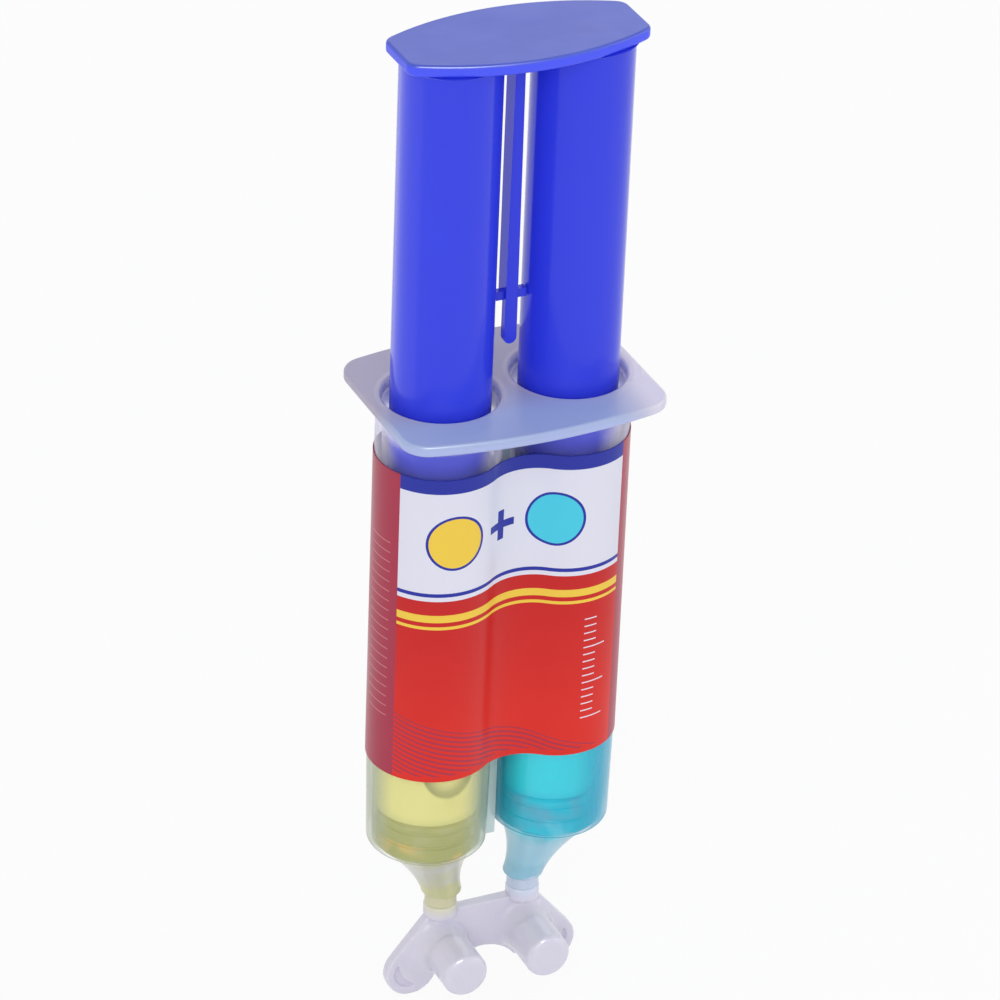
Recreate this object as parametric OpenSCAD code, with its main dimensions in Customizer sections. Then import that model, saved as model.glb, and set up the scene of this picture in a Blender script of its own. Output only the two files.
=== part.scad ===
// Twin-barrel syringe for two-part epoxy: two clear barrels moulded as one, a double plunger,
// a snap-off mixing stick, and a snap-off closure whose caps shut the outlets again.
// +Z runs up the syringe, the barrels stand side by side along X, and the label faces -Y.
// The origin is under the middle of the closure, at its lowest point.

/* [Barrels] */
// Radius of each bore, in which a piston slides
bore_r = 8.1; // [7.6:0.05:8.8]
// Wall of each barrel
barrel_wall = 1; // [0.8:0.05:1.6]
// Gap between the walls of the two barrels
barrel_gap = 1.5; // [1:0.1:6]
// Height of the bore's floor above the barrel's foot
floor_rise = 6.4; // [4:0.1:9]
// Thickness of the bore's floor
floor_t = 1.2; // [0.8:0.1:2]
// How far the barrel narrows on each side from the label down to the foot
foot_draft = 0.25; // [0.1:0.05:0.4]
// Rounding of the foot's outer edge
foot_round = 0.5; // [0.2:0.05:0.6]
// Lead-in at the mouth of each bore
mouth_lead = 0.2; // [0.1:0.05:0.5]
// Length of rod and air gap inside the barrel, above the piston, with the syringe full
guide_l = 10.9; // [10:0.1:30]
// Thickness of the web that joins the barrels
web_t = 2; // [1:0.1:4]
// How far the web hangs below the foot of the barrels
web_drop = 1.7; // [0.2:0.1:3]

/* [Finger flange] */
// How far the flange reaches past the barrels at each end
flange_side = 1.15; // [0.6:0.05:8]
// How far the flange reaches past the barrels in front and behind, for the fingers
finger_reach = 6.4; // [5:0.1:14]
// Thickness of the flange
flange_t = 1.7; // [1.2:0.1:3]
// How far each long edge falls back from its middle to its end
flange_sag = 2.5; // [1:0.1:4]
// Radius of the flange's corners
flange_corner_r = 4; // [2:0.1:6]

/* [Outlets] */
// How far each outlet is set in from its barrel's axis, towards the other outlet
outlet_in = 3.15; // [2:0.05:3.6]
// How far the outlets sit behind the barrels' axes
outlet_back = 0.9; // [0.3:0.1:3.2]
// Radius of the passage to each outlet
passage_r = 1.5; // [0.8:0.1:1.8]
// Radius of the neck, where the cone ends above the tip
neck_r = 3.05; // [2.7:0.05:3.6]
// Rounding of the neck's lower edge
neck_round = 0.3; // [0.1:0.05:0.5]
// Radius of the tip, where it snaps off
tip_r = 2.4; // [2.1:0.1:2.6]
// Height of the cone that narrows from the barrel's foot to the neck
cone_h = 11.1; // [7:0.1:14]
// How far the top of the cone is set in from the bore
cone_in = 0.4; // [0.2:0.05:1]
// How far the cone runs up into the plug above it
cone_sink = 0.5; // [0.2:0.1:1]
// Length of the tip below the neck
tip_h = 2; // [1:0.1:4]

/* [Closure] */
// Height of the closure's plate
plate_h = 13.8; // [12.5:0.1:18]
// Thickness of the closure's plate
plate_t = 1.8; // [1.2:0.1:3]
// Radius of the two lobes that the fingers twist
lobe_r = 4; // [3:0.1:5]
// How far each lobe's centre lies outside its outlet
lobe_out = 4.7; // [4:0.1:8]
// How far the bridge's shoulder lies outside its outlet
shoulder_out = 2.7; // [1.5:0.1:4]
// Rounding of the bridge's shoulders
shoulder_r = 1.6; // [0.8:0.1:2.4]
// Radius of the arch between the lobes
arch_r = 6.5; // [5:0.1:7]
// Height of the top of the arch
arch_h = 5.8; // [4:0.1:6.5]
// Depth of the shallow panels in the front of the plate
panel_d = 0.5; // [0.2:0.1:0.8]
// Width of the raised rim round each panel
rim_w = 1.3; // [0.8:0.1:1.8]
// Width of the flat land left round each cap
cap_land = 0.5; // [0.2:0.1:1]
// Radius of the collar that seals each outlet
collar_r = 2.55; // [2.4:0.05:3]
// Height of the collar
collar_h = 2.1; // [1.8:0.1:4]
// How deep the collar is let into the plate
collar_sink = 0.5; // [0.2:0.1:1]
// Rounding of the collar's edges
collar_round = 0.6; // [0.2:0.1:0.8]
// Depth of the sealed pocket in the collar
pocket_h = 1.2; // [0.5:0.1:1.5]
// Side wall of each cap
cap_wall = 1; // [0.6:0.05:1.4]
// How far the caps stand out in front of the plate
cap_l = 9.6; // [5:0.1:12]
// Height of the caps' axes
cap_z = 8.2; // [7:0.1:9]
// Depth of the socket in each cap
socket_d = 8; // [4:0.1:9]
// Rounding of each cap's end
cap_round = 0.7; // [0.2:0.1:1]

/* [Plunger] */
// How far the plunger travels
stroke = 50; // [30:0.5:80]
// Gap between the thumb plate and the flange with the syringe empty
thumb_gap = 2.1; // [0.5:0.1:6]
// Radial gap between each plunger rod and its bore
rod_gap = 0.9; // [0.5:0.05:1.5]
// Wall of each rod, which is a tube
rod_wall = 1.3; // [0.8:0.1:2]
// How far the thumb plate reaches past the rods at each end
thumb_side = 0.95; // [0.6:0.05:6]
// How far the thumb plate reaches past the rods in front and behind, at its middle
thumb_reach = 1.75; // [1.5:0.05:5]
// Thickness of the thumb plate
thumb_t = 1.8; // [1.2:0.1:4]
// How far each long edge falls back from its middle to its end
thumb_sag = 4.5; // [3:0.1:5]
// Radius of the thumb plate's corners
thumb_corner_r = 2; // [1:0.1:3]
// Height of each piston
piston_h = 6; // [4:0.1:9]
// Height of each of the piston's two sealing lips
lip_h = 1.4; // [0.8:0.1:1.8]
// How far the piston's waist is set in from its lips
waist_in = 0.8; // [0.3:0.1:1.2]
// How far the piston's plug reaches into the rod
plug_h = 5; // [2:0.1:9]
// Height of resin or hardener left below the piston at the end of its travel
residue_h = 1; // [0.5:0.1:3]

/* [Mixing stick] */
// Gap between the stick's tip and the flange with the syringe full
stick_gap = 6.6; // [6.3:0.1:12]
// Width of the stick where it leaves the thumb plate
stick_root_w = 1.4; // [1.1:0.1:2]
// Width of the stick at its tip
stick_tip_w = 1.9; // [1.5:0.1:2.4]
// Thickness of the stick's flat front
stick_t = 1.2; // [0.8:0.1:1.6]
// Thickness of the rib behind the stick
rib_t = 0.9; // [0.6:0.1:1.1]
// Depth of the rib behind the stick
rib_d = 2.4; // [1:0.1:3]
// Height of the bar that ties the stick to the rods
tie_h = 1.3; // [0.8:0.1:2]
// Thickness of the tie bar
tie_t = 1.2; // [0.8:0.1:1.6]
// Height of the tie bar's lower edge above the stick's tip
tie_rise = 6.8; // [5:0.1:12]

/* [Label] */
// Distance from the top of the flange to the label's top edge
label_drop = 8.9; // [3:0.1:12]
// Height of the label
label_h = 50.2; // [25:0.1:52]
// Thickness of the label
label_t = 0.15; // [0.1:0.01:0.3]
// How far the label dips between the barrels, behind their fronts
label_dip = 3.2; // [1:0.1:4]
// Angle past each barrel's side at which the label ends, round the back
label_end_deg = 70; // [20:5:85]

/* [Fits] */
// Radial gap between a piston's lips and the bore
seal_gap = 0.05; // [0.03:0.01:0.08]
// Radial gap between a piston's plug and its rod
plug_gap = 0.03; // [0.02:0.01:0.06]
// Gap at each line where the stick or the closure snaps off
break_gap = 0.05; // [0.03:0.01:0.1]
// Radial gap between a cap's socket and the tip it is pushed onto
cap_gap = 0.1; // [0.05:0.01:0.15]
// Gap between the resin, the hardener or the label and the surface beside it
film_gap = 0.04; // [0.02:0.01:0.08]
// How far each cut runs past the solid that it cuts
overrun = 0.4; // [0.2:0.1:0.6]

/* [Hidden] */
$fn = 72;
soft_fn = 32;
arc_steps = 12;
loft_sides = 48;
cone_steps = 12;

barrel_r = bore_r + barrel_wall;
foot_r = barrel_r - foot_draft;
barrel_x = barrel_r + barrel_gap / 2;
outlet_x = barrel_x - outlet_in;

collar_z = plate_h - collar_sink;
tip_z = collar_z + collar_h + break_gap;
neck_z = tip_z + tip_h;
foot_z = neck_z + cone_h;
floor_z = foot_z + floor_rise;
piston_z = floor_z + residue_h + stroke;
rod_z = piston_z + piston_h;
flange_top_z = rod_z + guide_l;
flange_z = flange_top_z - flange_t;
thumb_z = flange_top_z + thumb_gap + stroke;
label_z = flange_top_z - label_drop - label_h;
stick_tip_z = flange_top_z + stick_gap;
tie_z = stick_tip_z + tie_rise;

flange_l = 2 * (barrel_x + barrel_r + flange_side);
flange_w = 2 * (barrel_r + finger_reach);
rod_r = bore_r - rod_gap;
thumb_l = 2 * (barrel_x + rod_r + thumb_side);
thumb_w = 2 * (rod_r + thumb_reach);
rod_in_r = rod_r - rod_wall;
cap_in_r = tip_r + cap_gap;
cap_r = cap_in_r + cap_wall;
cap_rear_y = outlet_back + plate_t / 2;
label_r = barrel_r + film_gap + label_t;

// Share of the cone's height over which it leans across to its barrel's axis
cone_shift_share = 0.95;
// How late the cone widens: its width follows its height raised to this power
cone_flare = 1.75;

// Points round an arc of radius r about c, from angle a0 to angle a1
function arc(c, r, a0, a1, steps = arc_steps) =
    [for (i = [0 : steps]) let (a = a0 + (a1 - a0) * i / steps) c + r * [cos(a), sin(a)]];

// Outline with two bowed long edges, straight ends and round corners.
// Each corner's arc touches its end and its bowed edge without a kink.
function bowed_outline(l, w, sag, corner_r) =
    let (
        bow_r = (l * l / 4 + sag * sag) / (2 * sag),
        bow_y = w / 2 - bow_r,
        cx = l / 2 - corner_r,
        cy = bow_y + sqrt(pow(bow_r - corner_r, 2) - cx * cx),
        a = atan2(cy - bow_y, cx),
        half = concat(
            arc([cx, cy], corner_r, 0, a, arc_steps),
            arc([0, bow_y], bow_r, a, 180 - a, 2 * arc_steps),
            arc([-cx, cy], corner_r, 180 - a, 180, arc_steps))
    )
    concat(half, [for (p = half) -p]);

// One barrel: a straight tube with a floor, drafted and rounded at its foot
module barrel(side) {
    color([0.9, 0.88, 0.95, 0.5])
    difference() {
        translate([side * barrel_x, 0, 0])
            rotate_extrude()
            polygon(concat(
                [[0, foot_z]],
                arc([foot_r - foot_round, foot_z + foot_round], foot_round, -90, 0),
                [[barrel_r, label_z], [barrel_r, flange_top_z], [0, flange_top_z]]));
        translate([side * barrel_x, 0, floor_z])
            cylinder(r = bore_r, h = flange_top_z - floor_z + overrun);
        translate([side * barrel_x, 0, flange_top_z - mouth_lead])
            cylinder(r1 = bore_r, r2 = bore_r + 2 * mouth_lead, h = 2 * mouth_lead);
        translate([side * barrel_x, 0, foot_z - overrun])
            cylinder(r = bore_r, h = floor_rise - floor_t + overrun);
        passage(side);
    }
}

// The straight passage from a bore's floor down to its outlet
module passage(side) {
    translate([side * outlet_x, outlet_back, tip_z - overrun])
        cylinder(r = passage_r, h = floor_z - tip_z + 2 * overrun);
}

// The plate that the fingers pull on, let round the mouths of both barrels and the web
module finger_flange() {
    color([0.78, 0.76, 0.86, 0.7])
    difference() {
        translate([0, 0, flange_z])
            linear_extrude(flange_t)
            polygon(bowed_outline(flange_l, flange_w, flange_sag, flange_corner_r));
        for (side = [-1, 1])
            translate([side * barrel_x, 0, flange_z - overrun])
            cylinder(r = barrel_r, h = flange_t + 2 * overrun);
        translate([-barrel_x, -web_t / 2, flange_z - overrun])
            cube([2 * barrel_x, web_t, flange_t + 2 * overrun]);
    }
}

// The upright web that fills the narrow gap between the barrels
module barrel_web() {
    color([0.8, 0.78, 0.88, 0.6])
    difference() {
        translate([-barrel_x, -web_t / 2, foot_z - web_drop])
            cube([2 * barrel_x, web_t, flange_top_z - foot_z + web_drop]);
        for (side = [-1, 1])
            translate([side * barrel_x, 0, foot_z - web_drop - overrun])
            cylinder(r = barrel_r, h = flange_top_z - foot_z + web_drop + 2 * overrun);
    }
}

// Solid through a stack of level circles, each given as [x, y, z, radius], lowest first
module loft(circles) {
    n = loft_sides;
    last = len(circles) - 1;
    points = [for (c = circles, i = [0 : n - 1])
        [c[0] + c[3] * cos(360 * i / n), c[1] + c[3] * sin(360 * i / n), c[2]]];
    walls = [for (k = [0 : last - 1], i = [0 : n - 1])
        let (low = k * n, high = low + n, j = (i + 1) % n)
        each [[low + i, high + i, high + j], [low + i, high + j, low + j]]];
    floor_face = [for (i = [0 : n - 1]) i];
    lid_face = [for (i = [n - 1 : -1 : 0]) last * n + i];
    polyhedron(points, concat(walls, [floor_face, lid_face]));
}

// Tip, neck and cone of one outlet, as a stack of circles that leans across to the barrel's axis
function outlet_circles(side) =
    let (
        cone_top_r = bore_r - cone_in,
        cone_z = neck_z + neck_round,
        tip_x = side * outlet_x
    )
    concat(
        [[tip_x, outlet_back, tip_z, tip_r], [tip_x, outlet_back, neck_z, tip_r],
         [tip_x, outlet_back, neck_z, neck_r - neck_round]],
        [for (i = [0 : cone_steps])
            let (
                t = i / cone_steps,
                shift = min(t / cone_shift_share, 1),
                widening = pow(t, cone_flare)
            )
            [side * (outlet_x + (barrel_x - outlet_x) * shift), outlet_back * (1 - shift),
             cone_z + (foot_z - cone_z) * t, neck_r + (cone_top_r - neck_r) * widening]],
        [[side * barrel_x, 0, foot_z + cone_sink, cone_top_r]]);

// The end of a barrel below its floor: a plug, the cone that leans inwards, the neck and the tip
module nozzle(side) {
    color([0.82, 0.82, 0.86, 0.7])
    difference() {
        union() {
            translate([side * barrel_x, 0, foot_z])
                cylinder(r = bore_r, h = floor_rise - floor_t);
            loft(outlet_circles(side));
        }
        passage(side);
    }
}

// The printed label, round the front and sides of both barrels.
// It bridges the valley between them on an arc that leaves each barrel without a kink.
module label() {
    reach = (barrel_x * barrel_x + label_dip * label_dip) / (2 * label_dip);
    valley_r = reach - label_r;
    valley_c = [0, label_dip - reach];
    lean = atan2(-valley_c[1], barrel_x);
    left_c = [-barrel_x, 0];
    right_c = [barrel_x, 0];
    outer = concat(
        arc(left_c, label_r, 180 - label_end_deg, 360 - lean, 4 * arc_steps),
        arc(valley_c, valley_r, 180 - lean, lean, 2 * arc_steps),
        arc(right_c, label_r, 180 + lean, 360 + label_end_deg, 4 * arc_steps));
    inner = concat(
        arc(left_c, label_r - label_t, 180 - label_end_deg, 360 - lean, 4 * arc_steps),
        arc(valley_c, valley_r + label_t, 180 - lean, lean, 2 * arc_steps),
        arc(right_c, label_r - label_t, 180 + lean, 360 + label_end_deg, 4 * arc_steps));
    color([0.88, 0.2, 0.2])
    translate([0, 0, label_z])
        linear_extrude(label_h)
        polygon(concat(outer, [for (i = [len(inner) - 1 : -1 : 0]) inner[i]]));
}

// What one barrel holds, from the floor up to the piston
module fill(side) {
    translate([side * barrel_x, 0, floor_z + film_gap])
        cylinder(r = bore_r - film_gap, h = piston_z - floor_z - 2 * film_gap);
}

// What stands in one passage, from the floor down to the tip
module outlet_fill(side) {
    translate([side * outlet_x, outlet_back, tip_z])
        cylinder(r = passage_r - film_gap, h = floor_z - tip_z);
}

// The plate under the thumb, which joins the two rods
module thumb_plate() {
    color([0.45, 0.5, 0.85])
    translate([0, 0, thumb_z])
        linear_extrude(thumb_t)
        polygon(bowed_outline(thumb_l, thumb_w, thumb_sag, thumb_corner_r));
}

// One rod of the plunger, a tube that is open at its lower end
module rod(side) {
    color([0.28, 0.32, 0.9])
    translate([side * barrel_x, 0, rod_z])
        difference() {
            cylinder(r = rod_r, h = thumb_z - rod_z);
            translate([0, 0, -overrun])
                cylinder(r = rod_in_r, h = thumb_z - rod_z + 2 * overrun);
        }
}

// One piston: two sealing lips round a waist, and a plug that fits into the rod
module piston(side) {
    lip_r = bore_r - seal_gap;
    waist_r = lip_r - waist_in;
    plug_r = rod_in_r - plug_gap;
    color([0.2, 0.22, 0.6])
    translate([side * barrel_x, 0, piston_z])
        rotate_extrude()
        polygon([
            [0, 0], [lip_r, 0], [lip_r, lip_h],
            [waist_r, lip_h], [waist_r, piston_h - lip_h],
            [lip_r, piston_h - lip_h], [lip_r, piston_h],
            [plug_r, piston_h], [plug_r, piston_h + plug_h], [0, piston_h + plug_h]
        ]);
}

// The flat stick with its rib, which hangs from the thumb plate between the rods
module mixing_stick() {
    top_z = thumb_z - break_gap;
    tip_c = [0, stick_tip_z + stick_tip_w / 2];
    color([0.28, 0.32, 0.9])
    difference() {
        union() {
            rotate([90, 0, 0])
                linear_extrude(stick_t)
                polygon(concat(
                    [[-stick_root_w / 2, top_z]],
                    arc(tip_c, stick_tip_w / 2, 180, 360),
                    [[stick_root_w / 2, top_z]]));
            translate([-rib_t / 2, 0, tie_z])
                cube([rib_t, rib_d, top_z - tie_z]);
        }
        stick_tie_cut();
    }
}

// The room that the tie bar takes out of the stick
module stick_tie_cut() {
    translate([-stick_tip_w, -tie_t / 2, tie_z])
        cube([2 * stick_tip_w, tie_t, tie_h]);
}

// The bar that holds the stick's lower end to both rods until it is snapped out
module stick_tie_bar() {
    half_l = barrel_x - rod_r - break_gap;
    color([0.28, 0.32, 0.9])
    translate([-half_l, -tie_t / 2, tie_z])
        cube([2 * half_l, tie_t, tie_h]);
}

// Outline of one wing of the closure, drawn in by a rim
module wing_outline(side, rim) {
    hull() {
        translate([side * (outlet_x + lobe_out), lobe_r])
            circle(r = lobe_r - rim, $fn = 2 * soft_fn);
        translate([side * (outlet_x + shoulder_out - shoulder_r), plate_h - shoulder_r - rim])
            circle(r = shoulder_r - rim / 2, $fn = soft_fn);
    }
}

// Outline of the whole closure plate, with the arch between its lobes
module closure_outline() {
    bridge_l = 2 * (outlet_x + shoulder_out - shoulder_r);
    difference() {
        union() {
            for (side = [-1, 1]) {
                wing_outline(side, 0);
                translate([side * outlet_x, cap_z])
                    circle(r = cap_r + cap_land);
            }
            translate([-bridge_l / 2, arch_h])
                square([bridge_l, plate_h - arch_h]);
            translate([-outlet_x - lobe_out, arch_h / 2])
                square([2 * (outlet_x + lobe_out), arch_h]);
        }
        translate([0, arch_h - arch_r])
            circle(r = arch_r);
    }
}

// The plate that snaps off with both collars and carries both caps
module closure_plate() {
    front_y = outlet_back - plate_t / 2;
    color([0.8, 0.78, 0.88, 0.7])
    difference() {
        translate([0, cap_rear_y, 0])
            rotate([90, 0, 0])
            linear_extrude(plate_t)
            closure_outline();
        translate([0, front_y + panel_d, 0])
            rotate([90, 0, 0])
            linear_extrude(panel_d + overrun)
            difference() {
                for (side = [-1, 1])
                    wing_outline(side, rim_w);
                for (side = [-1, 1])
                    translate([side * outlet_x, cap_z])
                    circle(r = cap_r + cap_land);
            }
        for (side = [-1, 1]) {
            translate([side * outlet_x, outlet_back, collar_z])
                cylinder(r = collar_r, h = collar_sink + overrun);
            translate([side * outlet_x, cap_rear_y + overrun, cap_z])
                rotate([90, 0, 0])
                cylinder(r = cap_r, h = plate_t + 2 * overrun);
        }
    }
}

// The collar that closes one outlet, and that snaps off with the plate
module snap_collar(side) {
    color([0.84, 0.82, 0.9, 0.7])
    translate([side * outlet_x, outlet_back, collar_z])
        difference() {
            rotate_extrude()
                polygon(concat(
                    [[0, 0]],
                    arc([collar_r - collar_round, collar_round], collar_round, -90, 0),
                    arc([collar_r - collar_round, collar_h - collar_round], collar_round, 0, 90),
                    [[0, collar_h]]));
            translate([0, 0, collar_h - pocket_h])
                cylinder(r = passage_r, h = pocket_h + overrun);
        }
}

// One cap: a socket that opens behind the plate and is pushed onto an outlet's tip
module cap(side) {
    full_l = plate_t + cap_l;
    color([0.8, 0.78, 0.88, 0.7])
    translate([side * outlet_x, cap_rear_y, cap_z])
        rotate([90, 0, 0])
        difference() {
            rotate_extrude()
                polygon(concat(
                    [[0, 0], [cap_r, 0]],
                    arc([cap_r - cap_round, full_l - cap_round], cap_round, 0, 90),
                    [[0, full_l]]));
            translate([0, 0, -overrun])
                cylinder(r = cap_in_r, h = socket_d + overrun);
        }
}

module barrel_left() barrel(-1);
module barrel_right() barrel(1);
module nozzle_left() nozzle(-1);
module nozzle_right() nozzle(1);
module resin_fill() color([0.91, 0.9, 0.58]) fill(-1);
module hardener_fill() color([0.3, 0.82, 0.9]) fill(1);
module resin_outlet_fill() color([0.91, 0.9, 0.58]) outlet_fill(-1);
module hardener_outlet_fill() color([0.3, 0.82, 0.9]) outlet_fill(1);
module rod_left() rod(-1);
module rod_right() rod(1);
module piston_left() piston(-1);
module piston_right() piston(1);
module snap_collar_left() snap_collar(-1);
module snap_collar_right() snap_collar(1);
module cap_left() cap(-1);
module cap_right() cap(1);

barrel_left();
barrel_right();
finger_flange();
barrel_web();
nozzle_left();
nozzle_right();
label();
resin_fill();
hardener_fill();
resin_outlet_fill();
hardener_outlet_fill();
thumb_plate();
rod_left();
rod_right();
piston_left();
piston_right();
mixing_stick();
stick_tie_bar();
closure_plate();
snap_collar_left();
snap_collar_right();
cap_left();
cap_right();
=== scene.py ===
import math

import bmesh
import bpy
from mathutils.bvhtree import BVHTree
from mathutils import Matrix, Vector


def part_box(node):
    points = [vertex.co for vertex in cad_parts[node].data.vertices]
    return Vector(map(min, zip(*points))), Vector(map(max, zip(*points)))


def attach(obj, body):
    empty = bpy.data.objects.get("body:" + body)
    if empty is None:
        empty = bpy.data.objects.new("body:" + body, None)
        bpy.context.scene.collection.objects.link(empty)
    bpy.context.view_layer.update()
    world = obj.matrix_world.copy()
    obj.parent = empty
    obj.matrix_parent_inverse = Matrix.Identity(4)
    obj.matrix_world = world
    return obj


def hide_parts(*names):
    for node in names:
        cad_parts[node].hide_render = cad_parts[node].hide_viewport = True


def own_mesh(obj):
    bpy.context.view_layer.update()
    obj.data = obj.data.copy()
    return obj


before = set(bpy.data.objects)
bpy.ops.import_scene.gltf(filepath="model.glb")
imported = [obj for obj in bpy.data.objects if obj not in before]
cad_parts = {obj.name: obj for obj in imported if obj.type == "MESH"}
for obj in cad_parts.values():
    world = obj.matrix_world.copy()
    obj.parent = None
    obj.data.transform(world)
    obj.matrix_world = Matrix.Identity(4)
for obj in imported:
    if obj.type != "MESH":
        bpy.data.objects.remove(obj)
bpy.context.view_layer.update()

# Camera. The syringe stands upright with its left barrel turned towards the lens, and is seen
# from well above through a long lens that is tipped slightly to one side.
CAMERA_AZIMUTH = math.radians(-25.338)
CAMERA_ELEVATION = math.radians(30.386)
CAMERA_TIP = math.radians(2.334)
CAMERA_DISTANCE = 0.7266
CAMERA_BELOW_FLANGE = 0.0194
LENS_MM = 183.74
SENSOR_MM = 36

flange_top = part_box("finger_flange")[1].z
looked_at = Vector((0, 0, flange_top - CAMERA_BELOW_FLANGE))
back = Vector((
    math.sin(CAMERA_AZIMUTH) * math.cos(CAMERA_ELEVATION),
    -math.cos(CAMERA_AZIMUTH) * math.cos(CAMERA_ELEVATION),
    math.sin(CAMERA_ELEVATION),
))
level_right = Vector((math.cos(CAMERA_AZIMUTH), math.sin(CAMERA_AZIMUTH), 0))
level_up = back.cross(level_right)
right = math.cos(CAMERA_TIP) * level_right + math.sin(CAMERA_TIP) * level_up
up = back.cross(right)

lens = bpy.data.cameras.new("camera")
lens.lens = LENS_MM
lens.sensor_width = SENSOR_MM
camera = bpy.data.objects.new("camera", lens)
bpy.context.scene.collection.objects.link(camera)
camera.matrix_world = (
    Matrix.Translation(looked_at + back * CAMERA_DISTANCE)
    @ Matrix((right, up, back)).transposed().to_4x4()
)
bpy.context.scene.camera = camera
bpy.context.scene.view_settings.view_transform = "Standard"


# Floor and light. A white sweep under a broad, even light, with one soft lamp in front on the
# left, one overhead behind that shines in the thumb plate, a weak one on the right, one above in
# front that only glints on rounded edges, and one that lies on the floor behind on the left,
# where the left rod mirrors it.
FLOOR_HALF = 3.0
FLOOR_GLOW = 0.9
FLOOR_COLOUR = (0.93, 0.93, 0.95, 1)
ROOM_LIGHT = 0.62
LAMPS = {
    "lamp_front_left": {"at": (-0.65, -0.93, 0.75), "size": (0.8, 0.8), "power": 5.3},
    "lamp_back": {"at": (0.35, 0.95, 0.75), "size": (0.9, 0.9), "power": 1.2},
    "lamp_right": {"at": (0.95, -0.35, 0.45), "size": (0.6, 0.6), "power": 1.8},
    "lamp_glint": {"at": (-0.15, -0.62, 0.80), "size": (0.5, 0.3), "power": 13.0, "only_glints": True},
    "lamp_low": {"at": (-0.20, 0.14, 0.002), "size": (0.32, 0.32), "power": 0.15, "aim": (-0.20, 0.14, 1)},
}
LAMP_AIM = (0, 0, 0.07)


def calc(tree, operation, *values):
    """The output of one math node on numbers or other nodes' outputs."""
    node = tree.nodes.new("ShaderNodeMath")
    node.operation = operation
    for socket, value in zip(node.inputs, values):
        if isinstance(value, (int, float)):
            socket.default_value = value
        else:
            tree.links.new(value, socket)
    return node.outputs[0]


def spread(tree, value, from_low, from_high, to_low, to_high):
    """A value moved from one range into another, and held to it."""
    node = tree.nodes.new("ShaderNodeMapRange")
    for socket, number in zip(list(node.inputs)[1:5], (from_low, from_high, to_low, to_high)):
        socket.default_value = number
    tree.links.new(value, node.inputs["Value"])
    return node.outputs["Result"]


def shows_backdrop(tree):
    """1 for the rays that see the backdrop: from the camera, off gloss or through a clear wall."""
    path = tree.nodes.new("ShaderNodeLightPath")
    seen = calc(tree, "MAXIMUM", path.outputs["Is Camera Ray"], path.outputs["Is Glossy Ray"])
    return calc(tree, "MAXIMUM", seen, path.outputs["Is Transmission Ray"])


floor_mesh = bpy.data.meshes.new("floor")
floor_mesh.from_pydata(
    [(x * FLOOR_HALF, y * FLOOR_HALF, 0) for x, y in ((-1, -1), (1, -1), (1, 1), (-1, 1))],
    [], [(0, 1, 2, 3)])
floor = bpy.data.objects.new("floor", floor_mesh)
bpy.context.scene.collection.objects.link(floor)

floor_finish = bpy.data.materials.new("white_sweep")
floor_finish.use_nodes = True
tree = floor_finish.node_tree
tree.nodes.clear()
paper = tree.nodes.new("ShaderNodeBsdfDiffuse")
paper.inputs["Color"].default_value = FLOOR_COLOUR
glow = tree.nodes.new("ShaderNodeEmission")
mix = tree.nodes.new("ShaderNodeMixShader")
floor_out = tree.nodes.new("ShaderNodeOutputMaterial")
tree.links.new(calc(tree, "MULTIPLY", shows_backdrop(tree), FLOOR_GLOW), mix.inputs["Fac"])
tree.links.new(paper.outputs[0], mix.inputs[1])
tree.links.new(glow.outputs[0], mix.inputs[2])
tree.links.new(mix.outputs[0], floor_out.inputs["Surface"])
floor_mesh.materials.append(floor_finish)

world = bpy.data.worlds.new("white_room")
bpy.context.scene.world = world
world.use_nodes = True
tree = world.node_tree
room = tree.nodes["Background"]
room.inputs["Color"].default_value = (1, 1, 1, 1)
strength = spread(tree, shows_backdrop(tree), 0, 1, ROOM_LIGHT, 1)
tree.links.new(strength, room.inputs["Strength"])

for lamp_name, facts in LAMPS.items():
    lamp = bpy.data.lights.new(lamp_name, "AREA")
    lamp.shape = "RECTANGLE"
    lamp.size, lamp.size_y = facts["size"]
    lamp.energy = facts["power"]
    stand = bpy.data.objects.new(lamp_name, lamp)
    bpy.context.scene.collection.objects.link(stand)
    stand.location = facts["at"]
    stand.visible_camera = False
    stand.visible_diffuse = not facts.get("only_glints", False)
    aim = Vector(facts.get("aim", LAMP_AIM)) - Vector(facts["at"])
    stand.rotation_euler = aim.to_track_quat("-Z", "Y").to_euler()


def lights_only(lamp_name, *pieces):
    """Lets a lamp shine on these pieces alone."""
    lit = bpy.data.collections.new(f"lit_by_{lamp_name}")
    for piece in pieces:
        lit.objects.link(piece)
    bpy.data.objects[lamp_name].light_linking.receiver_collection = lit


# Barrels. Two straight tubes of clear polypropylene, moulded side by side, each drafted a
# little towards its rounded foot. Their mouths end in the finger flange.
BARREL_WALL = 0.001
FOOT_DRAFT = 0.00025
FOOT_ROUND = 0.0007
FLOOR_RISE = 0.0064
WALL_TINTS = {"left": (0.47, 0.53, 0.38), "right": (0.03, 0.44, 0.65)}
EMPTY_WALL = (0.84, 0.81, 1.0)
WALL_DENSITY = (0.05, 0.85)
EMPTY_DENSITY = (0.05, 0.62)
MOUTH_DENSITY = 0.78
MOUTH_FADE = (0.0038, 0.0014)
WALL_FACING = {"left": (0.35, 0.85), "right": (0.27, 0.70)}
FLOW_SCALE = 45
FLOW_RANGE = (0.3, 0.7)
GLOSS_SHARES = (0.85, 1.15)
TONE_SHARES = (0.95, 1.05)
GRAIN_SCALE = 900
GRAIN_DETAIL = 3
GRAIN_DEPTH = 0.000004
ON_AXIS = 1e-7
ARC_STEPS = 8
SHARP_ANGLE = math.radians(38)
SIDES = {"left": -1, "right": 1}

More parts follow.
